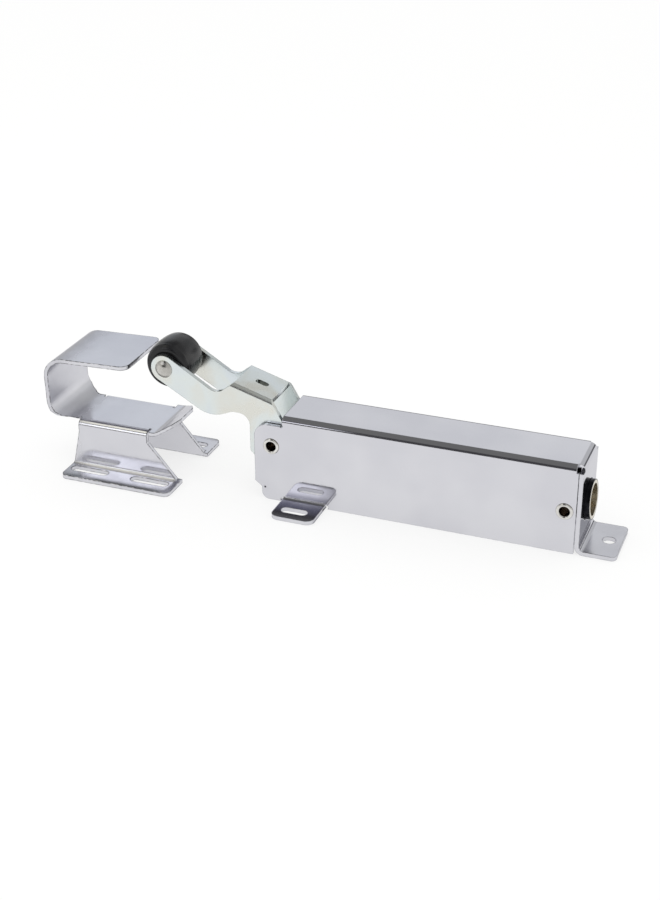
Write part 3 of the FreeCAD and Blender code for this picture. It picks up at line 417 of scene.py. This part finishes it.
strutTurn = -strutTilt
seal = mouldedRubber("nitrileRubber", sealLook)
strutSteel = turnedMetal("turnedSteelStrut", steelLook, rearPivot, strutTurn)
strutZinc = turnedMetal("zincPlatedSteelNut", zincNutLook, rearPivot, strutTurn)
finishes = {
    "housing": chromePlate("chromePlatedSteelSheet", chromeLook),
    "strike_hook": chromePlate("chromePlatedPressedSheet", hookLook),
    "lever_arm": zincPlate("zincPlatedSteelSheet", zincLook),
    "pivot_rivet": turnedMetal("nickelPlatedRivet", nickelLook, armPivot, alongAxis="Y"),
    "rear_rivet": turnedMetal("nickelPlatedRivetRear", nickelLook, rearPivot, alongAxis="Y"),
    "roller_axle": turnedMetal("brightSteelAxle", steelLook, rollerAxle, alongAxis="Y"),
    "roller_tyre": mouldedRubber("mouldedBlackRubber", tyreLook),
    "roller_bush": turnedMetal("sinteredBronzeRoller", bronzeLook, rollerAxle, alongAxis="Y"),
    "pivot_bush": turnedMetal("sinteredBronzePivot", bronzeLook, armPivot, alongAxis="Y"),
    "crank_pin": turnedMetal("groundSteelPin", steelLook, armPivot, alongAxis="Y"),
    "rear_cap": capWithPaintedShade("turnedSteelPaintedShadeAndLight", capLook, rearPivot, strutTurn),
    "rear_spacers": turnedMetal("turnedSteelSpacer", steelLook, rearPivot, alongAxis="Y"),
    "cylinder_tube": coated("stoveEnamelledTube", enamelLook),
    "front_gland": strutSteel,
    "piston": strutSteel,
    "rod_eye": strutSteel,
    "spring_collar": strutSteel,
    "piston_nut": strutZinc,
    "lock_nut": strutZinc,
    "piston_rod": turnedMetal("hardChromedRod", hardChromeLook, rearPivot, strutTurn),
    "piston_ring": coated("filledPtfe", ptfeLook),
    "main_spring": coated("oilTemperedWire", wireLook),
    "speed_screw": turnedMetal("turnedBrass", brassLook, rearPivot, strutTurn),
    "rod_seal": seal,
    "cap_seal": seal,
    "gland_seal": seal,
}
for nodeName, material in finishes.items():
    slots = nodes[nodeName].data.materials
    slots.clear()
    slots.append(material)
print("door closer: finishes on", len(finishes), "CAD nodes")

# steps round a turned piece, the small break in mm that keeps its corners crisp, and the weld in metres
pieceDetail = {"segments": 160, "tight": 0.05, "weld": 1e-7}
tight = pieceDetail["tight"]


def gridPiece(name, grid, ringed, node, body):
    # grid of points whose columns close on themselves
    # its rows close too when ringed, or else get flat end caps
    rows, columns = grid.shape[:2]
    i, j = np.meshgrid(np.arange(rows if ringed else rows - 1), np.arange(columns), indexing="ij")
    down, across = (i + 1) % rows, (j + 1) % columns
    quads = np.stack([i * columns + j, down * columns + j,
                      down * columns + across, i * columns + across], axis=2)
    faces = quads.reshape(-1, 4).tolist()
    if not ringed:
        endRing = np.arange(columns)
        faces += [endRing.tolist(), ((rows - 1) * columns + endRing).tolist()]
    mesh = bpy.data.meshes.new(name)
    mesh.from_pydata(grid.reshape(-1, 3).tolist(), [], faces)
    # points that meet on the axis become one, and faces turn outward
    work = bmesh.new()
    work.from_mesh(mesh)
    bmesh.ops.remove_doubles(work, verts=work.verts, dist=pieceDetail["weld"])
    bmesh.ops.recalc_face_normals(work, faces=work.faces)
    work.to_mesh(mesh)
    work.free()
    mesh.polygons.foreach_set("use_smooth", np.ones(len(mesh.polygons), dtype=bool))
    mesh.materials.append(finishes[node])
    piece = bpy.data.objects.new(name, mesh)
    scene.collection.objects.link(piece)
    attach(piece, body)
    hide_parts(node)
    return piece


def turnedPiece(name, half, centre, node, body):
    # surface of revolution about an axis along Y: x and z go round the centre at the profile's radius
    # half has rows of (offset along Y, radius) in mm, and its mirror image closes the loop
    profile = np.concatenate([half, half[::-1] * np.array([-1.0, 1.0])])
    spin = np.linspace(0, 2 * np.pi, pieceDetail["segments"], endpoint=False)
    offset, radius = profile[:, 0][:, None] * mm, profile[:, 1][:, None] * mm
    grid = np.stack([centre.x + radius * np.cos(spin), centre.y + offset + 0 * spin,
                     centre.z + radius * np.sin(spin)], axis=2)
    return gridPiece(name, grid, True, node, body)


# Crowned tyre, sizes in mm
tyreForm = {"radius": 16.3, "half": 13.5, "crown": 0.8, "power": 2.6, "shoulder": 3.6, "bore": 6.0,
            "ringAt": 9.6, "ringHalf": 1.6, "ringDepth": 0.5,
            "treadRows": 28, "shoulderRows": 16, "sideRows": 40}


def tyreProfile(form):
    # the tread falls away from its middle by a power of the offset, then a quarter circle leads to
    # the flat side, which has one shallow moulded ring shaped as a raised cosine
    half, shoulder, bore = form["half"], form["shoulder"], form["bore"]
    treadHalf = half - shoulder
    treadAt = np.linspace(0.0, treadHalf, form["treadRows"])
    fall = form["crown"] * (treadAt / treadHalf) ** form["power"]
    tread = np.stack([treadAt, form["radius"] - fall], axis=1)
    sweep = np.linspace(0, np.pi / 2, form["shoulderRows"])[1:]
    sideTop = form["radius"] - form["crown"] - shoulder
    corner = np.stack([treadHalf + shoulder * np.sin(sweep), sideTop + shoulder * np.cos(sweep)], axis=1)
    sideAt = np.linspace(sideTop - tight, bore, form["sideRows"])
    ringShare = np.clip(np.abs(sideAt - form["ringAt"]) / form["ringHalf"], 0, 1)
    ring = form["ringDepth"] * (1 + np.cos(np.pi * ringShare)) / 2
    side = np.stack([half - ring, sideAt], axis=1)
    return np.concatenate([tread, corner, side, [[half - tight, bore]]])


turnedPiece("rollerTyre", tyreProfile(tyreForm), rollerAxle, "roller_tyre", "roller")

# Riveted axle, sizes in mm
axleForm = {"shank": 4.0, "head": 6.1, "grip": 17.25, "edge": 0.35, "rise": 1.95, "domeRows": 24}


def axleProfile(form):
    # a plain shank and a domed head, which is a spherical cap on a short straight edge
    shank, head, grip, rise = form["shank"], form["head"], form["grip"], form["rise"]
    domeRadius = (head ** 2 + rise ** 2) / (2 * rise)
    domeAt = np.linspace(0.0, head, form["domeRows"])
    dome = grip + form["edge"] + np.sqrt(domeRadius ** 2 - domeAt ** 2) - domeRadius + rise
    under = [[grip + form["edge"] - tight, head], [grip + tight, head], [grip, head - tight],
             [grip, shank + tight], [grip - tight, shank], [0.0, shank]]
    return np.concatenate([np.stack([dome, domeAt], axis=1), under])


turnedPiece("rollerAxlePin", axleProfile(axleForm), rollerAxle, "roller_axle", "arm")

# Hollow rivets, sizes in mm
rivetForm = {"shank": 4.2, "bore": 3.3, "rim": 5.7, "wall": 20.65, "rise": 1.1, "rollRows": 28}


def rivetProfile(form):
    # a straight tube whose end is rolled outward into a half-ellipse rim
    shank, bore, rim, wall = form["shank"], form["bore"], form["rim"], form["wall"]
    rollAt = np.linspace(0, np.pi, form["rollRows"])
    rolled = np.stack([wall + form["rise"] * np.sin(rollAt),
                       (rim + bore) / 2 + (rim - bore) / 2 * np.cos(rollAt)], axis=1)
    under = [[0.0, shank], [wall - tight, shank], [wall, shank + tight], [wall, rim - tight]]
    inside = [[wall - tight, bore], [0.0, bore]]
    return np.concatenate([under, rolled, inside])


turnedPiece("pivotRivet", rivetProfile(rivetForm), armPivot, "pivot_rivet", "housing")
turnedPiece("rearRivet", rivetProfile(rivetForm), rearPivot, "rear_rivet", "housing")
print("door closer: tyre, axle and two rivets drawn as smooth turned pieces")

# Main spring, sizes in mm, places along the strut measured from the rear pivot
# its collar end follows the rod, so in the closer the coil shortens towards the gland by the rod's travel
springForm = {"collarAt": -174.87, "glandAt": -124.0, "inner": 7.1, "outer": 9.7, "wire": 2.2, "turns": 6.5,
              "sense": -1, "corner": 0.35, "cornerRows": 4, "stepsPerTurn": 60, "travel": 6.38}
strutAxis = Vector((math.cos(strutTilt), 0, math.sin(strutTilt)))
strutUp = Vector((-math.sin(strutTilt), 0, math.cos(strutTilt)))
strutSide = Vector((0, 1, 0))
coilLength = springForm["glandAt"] - springForm["collarAt"]


def springGrid(form):
    # a flat-wire section with four quarter-circle corners, carried along a helix round the strut's axis
    wire, corner, rows = form["wire"], form["corner"], form["cornerRows"]
    depth = form["outer"] - form["inner"]
    quarter = np.linspace(0, np.pi / 2, rows)
    bend = np.concatenate([quarter + k * np.pi / 2 for k in range(4)])
    sectionAlong = np.repeat([1, -1, -1, 1], rows) * (wire / 2 - corner) + corner * np.cos(bend)
    sectionOut = np.repeat([1, 1, -1, -1], rows) * (depth / 2 - corner) + corner * np.sin(bend)
    share = np.linspace(0, 1, int(form["turns"] * form["stepsPerTurn"]) + 1)[:, None]
    angle = form["sense"] * 2 * np.pi * form["turns"] * share
    along = form["collarAt"] + wire / 2 + (coilLength - wire) * share + sectionAlong
    out = form["inner"] + depth / 2 + sectionOut + 0 * along
    steps = [(along, strutAxis), (out * np.cos(angle), strutUp), (out * np.sin(angle), strutSide)]
    return np.array(rearPivot) + mm * sum(size[:, :, None] * np.array(way) for size, way in steps)


mainSpring = gridPiece("mainSpring", springGrid(springForm), False, "main_spring", "housing")
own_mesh(mainSpring)

# Studio: pale paper floor, white surround, soft lamps and a banded tunnel that only mirror rays see
# glow is the floor's own share of white, and ambient is the surround's light on the object
studio = {"floorHalf": 6.0, "floorDrop": 0.0003, "paper": "#FAFAF9", "glow": 0.74, "ambient": 1.0,
          "tunnelRadius": 3.0, "tunnelHalf": 7.0, "tunnelLow": 1.0, "tunnelSteps": 91,
          "tunnelStrength": 2.0, "splitSoft": 0.05}
# tones round the tunnel at half strength, by degrees from the front horizon over the top to the back one
openFront = [(0, "#A8A8A7"), (60, "#8C8C8B"), (139, "#8C8C8B")]
backLine = [(144, "#B4B5B6"), (159, "#B4B5B6"), (163, "#505052"), (174, "#505052"), (178, "#B4B4B4")]
openTones = openFront + [(144, "#98999A"), (180, "#A0A09F")]
lineTones = openFront + backLine
farTones = openFront + [(146, "#D4D4D2"), (180, "#D8D8D6")]
rightTones = [(0, "#383839"), (38, "#343335"), (44, "#585857"), (139, "#585857")] + backLine
middleTones = [(0, "#383839"), (19, "#343335"), (20, "#E7E7EA"), (29, "#E7E7EA"), (31, "#626270"),
               (38, "#343335"), (44, "#585857"), (139, "#585857"), (144, "#B4B5B6"), (159, "#B4B5B6"),
               (163, "#706F6C"), (174, "#706F6C"), (178, "#B4B4B4")]
leftTones = [(0, "#888888"), (7, "#72706C"), (16, "#72706C"), (20, "#FCFDFF"), (37, "#FCFDFF"),
             (42, "#4A4B47"), (50, "#4A4B47"), (56, "#DAD8CC"), (88, "#C4C2B4"), (100, "#383C3C"),
             (139, "#44484A"), (144, "#AFB2B6"), (168, "#AFB2B6"), (180, "#B4B4B4")]
# where each set of tones starts along the tunnel, in metres
zones = [(-7.0, openTones), (-2.1, leftTones), (-1.35, middleTones), (-0.97, rightTones),
         (0.0, openTones), (1.4, lineTones), (2.1, farTones)]


def stageMesh(name, points, faces, material):
    # plain mesh with one material, for the floor and the tunnel
    mesh = bpy.data.meshes.new(name)
    mesh.from_pydata(points, [], faces)
    mesh.materials.append(material)
    item = bpy.data.objects.new(name, mesh)
    scene.collection.objects.link(item)
    return item


def seenRays(tree):
    # 1 for camera, mirror and see-through rays, 0 for light
    path = addNode(tree, "LightPath")
    looked = addNode(tree, "Math", operation="MAXIMUM",
                     links={0: path.outputs["Is Camera Ray"], 1: path.outputs["Is Glossy Ray"]})
    seen = addNode(tree, "Math", operation="MAXIMUM",
                   links={0: looked.outputs["Value"], 1: path.outputs["Is Transmission Ray"]})
    return seen.outputs["Value"]


# White paper: matt, with a share of plain white that only seen rays get, so the shadow stays soft
paper = bpy.data.materials.new("whitePaper")
paperTree = emptyTree(paper)
matt = addNode(paperTree, "BsdfDiffuse", values={"Color": hexColour(studio["paper"])})
glow = addNode(paperTree, "Emission", values={"Color": white, "Strength": 1.0})
share = addNode(paperTree, "Math", operation="MULTIPLY", values={1: studio["glow"]},
                links={0: seenRays(paperTree)})
paperMix = addNode(paperTree, "MixShader", links={0: share.outputs["Value"], 1: matt.outputs["BSDF"],
                                                  2: glow.outputs["Emission"]})
addNode(paperTree, "OutputMaterial", links={"Surface": paperMix.outputs["Shader"]})
half = studio["floorHalf"]
low = -studio["floorDrop"]
floorCorners = [(-half, -half, low), (half, -half, low), (half, half, low), (-half, half, low)]
floor = stageMesh("paperFloor", floorCorners, [(0, 1, 2, 3)], paper)

# Tunnel bands: plain tones by the angle round the tunnel and by the zone along it
bands = bpy.data.materials.new("tunnelBands")
bandTree = emptyTree(bands)
spot = addNode(bandTree, "SeparateXYZ", links={"Vector": addNode(bandTree, "TexCoord").outputs["Object"]})
front = addNode(bandTree, "Math", operation="MULTIPLY", values={1: -1.0}, links={0: spot.outputs["Y"]})
angle = addNode(bandTree, "Math", operation="ARCTAN2",
                links={0: spot.outputs["Z"], 1: front.outputs["Value"]})
turnShare = addNode(bandTree, "Math", operation="DIVIDE", values={1: math.pi},
                    links={0: angle.outputs["Value"]})
tone = None
for startsAt, tones in zones:
    ramp = setRamp(addNode(bandTree, "ValToRGB", links={"Fac": turnShare.outputs["Value"]}),
                   [(degrees / 180, colour) for degrees, colour in tones])
    if tone is None:
        tone = ramp.outputs["Color"]
        continue
    past = addNode(bandTree, "MapRange", links={"Value": spot.outputs["X"]},
                   values={"From Min": startsAt - studio["splitSoft"],
                           "From Max": startsAt + studio["splitSoft"]})
    tone = addNode(bandTree, "Mix", data_type="RGBA",
                   links={mixFactor: past.outputs["Result"], mixFirst: tone,
                          mixSecond: ramp.outputs["Color"]}).outputs[mixResult]
shine = addNode(bandTree, "Emission", values={"Strength": studio["tunnelStrength"]}, links={"Color": tone})
addNode(bandTree, "OutputMaterial", links={"Surface": shine.outputs["Emission"]})

# the tunnel is a half cylinder about the X axis: y = -R cos(angle), z = R sin(angle)
angles = np.radians(np.linspace(studio["tunnelLow"], 180 - studio["tunnelLow"], studio["tunnelSteps"]))
arch = np.stack([-np.cos(angles), np.sin(angles)], axis=1) * studio["tunnelRadius"]
ends = np.array([-studio["tunnelHalf"], studio["tunnelHalf"]])
points = np.concatenate([np.repeat(ends, len(arch))[:, None], np.tile(arch, (2, 1))], axis=1)
first = np.arange(len(arch) - 1)
strips = np.stack([first, first + 1, first + 1 + len(arch), first + len(arch)], axis=1)
tunnel = stageMesh("mirrorTunnel", points.tolist(), strips.tolist(), bands)
tunnel.visible_camera = False
tunnel.visible_diffuse = False
tunnel.visible_shadow = False
tunnel.visible_transmission = False

world = bpy.data.worlds.new("whiteSurround")
scene.world = world
worldTree = emptyTree(world)
light = addNode(worldTree, "Background", values={"Color": white, "Strength": studio["ambient"]})
seen = addNode(worldTree, "Background", values={"Color": white, "Strength": 1.0})
sky = addNode(worldTree, "MixShader", links={0: seenRays(worldTree), 1: light.outputs["Background"],
                                             2: seen.outputs["Background"]})
addNode(worldTree, "OutputWorld", links={"Surface": sky.outputs["Shader"]})

lamps = {
    "overheadSoftbox": {"at": (-0.15, -0.25, 1.25), "aim": (0.0, 0.0, 0.03), "power": 1.8, "size": 0.9},
    "leftSoftbox": {"at": (-1.1, -0.8, 0.8), "aim": (-0.05, 0.0, 0.04), "power": 1.4, "size": 0.7},
}
for lampName, lamp in lamps.items():
    softbox = bpy.data.lights.new(lampName, "AREA")
    softbox.energy = lamp["power"]
    softbox.size = lamp["size"]
    item = bpy.data.objects.new(lampName, softbox)
    item.location = lamp["at"]
    item.rotation_euler = (Vector(lamp["aim"]) - Vector(lamp["at"])).to_track_quat("-Z", "Y").to_euler()
    item.visible_glossy = False
    scene.collection.objects.link(item)
print("door closer: studio set, lamps:", ", ".join(lamps))

# Camera: set to the photograph's edges, image 660 by 900, angles in degrees and places in metres
photoCamera = {"azimuth": 21.055, "elevation": 27.08, "roll": -0.277, "distance": 1.0760,
               "slideRight": -0.0315, "slideUp": -0.02435, "focalPixels": 1572.5, "imageHeight": 900,
               "film": 36.0, "nearest": 0.01}
turn = math.radians(photoCamera["azimuth"])
lift = math.radians(photoCamera["elevation"])
lean = math.radians(photoCamera["roll"])
backward = Vector((math.sin(turn) * math.cos(lift), -math.cos(turn) * math.cos(lift), math.sin(lift)))
level = Vector((math.cos(turn), math.sin(turn), 0))
upright = backward.cross(level)
cameraRight = level * math.cos(lean) + upright * math.sin(lean)
cameraUp = upright * math.cos(lean) - level * math.sin(lean)
cameraPlace = (Vector((armPivot.x, 0, 0)) + backward * photoCamera["distance"]
               - cameraRight * photoCamera["slideRight"] - cameraUp * photoCamera["slideUp"])
lens = bpy.data.cameras.new("photoCamera")
lens.sensor_fit = "VERTICAL"
lens.sensor_height = photoCamera["film"]
lens.lens = photoCamera["focalPixels"] / photoCamera["imageHeight"] * photoCamera["film"]
lens.clip_start = photoCamera["nearest"]
camera = bpy.data.objects.new("photoCamera", lens)
pose = Matrix((cameraRight, cameraUp, backward)).transposed().to_4x4()
pose.translation = cameraPlace
camera.matrix_world = pose
scene.collection.objects.link(camera)
scene.camera = camera
print("door closer: camera set, lens", round(lens.lens, 1), "mm")
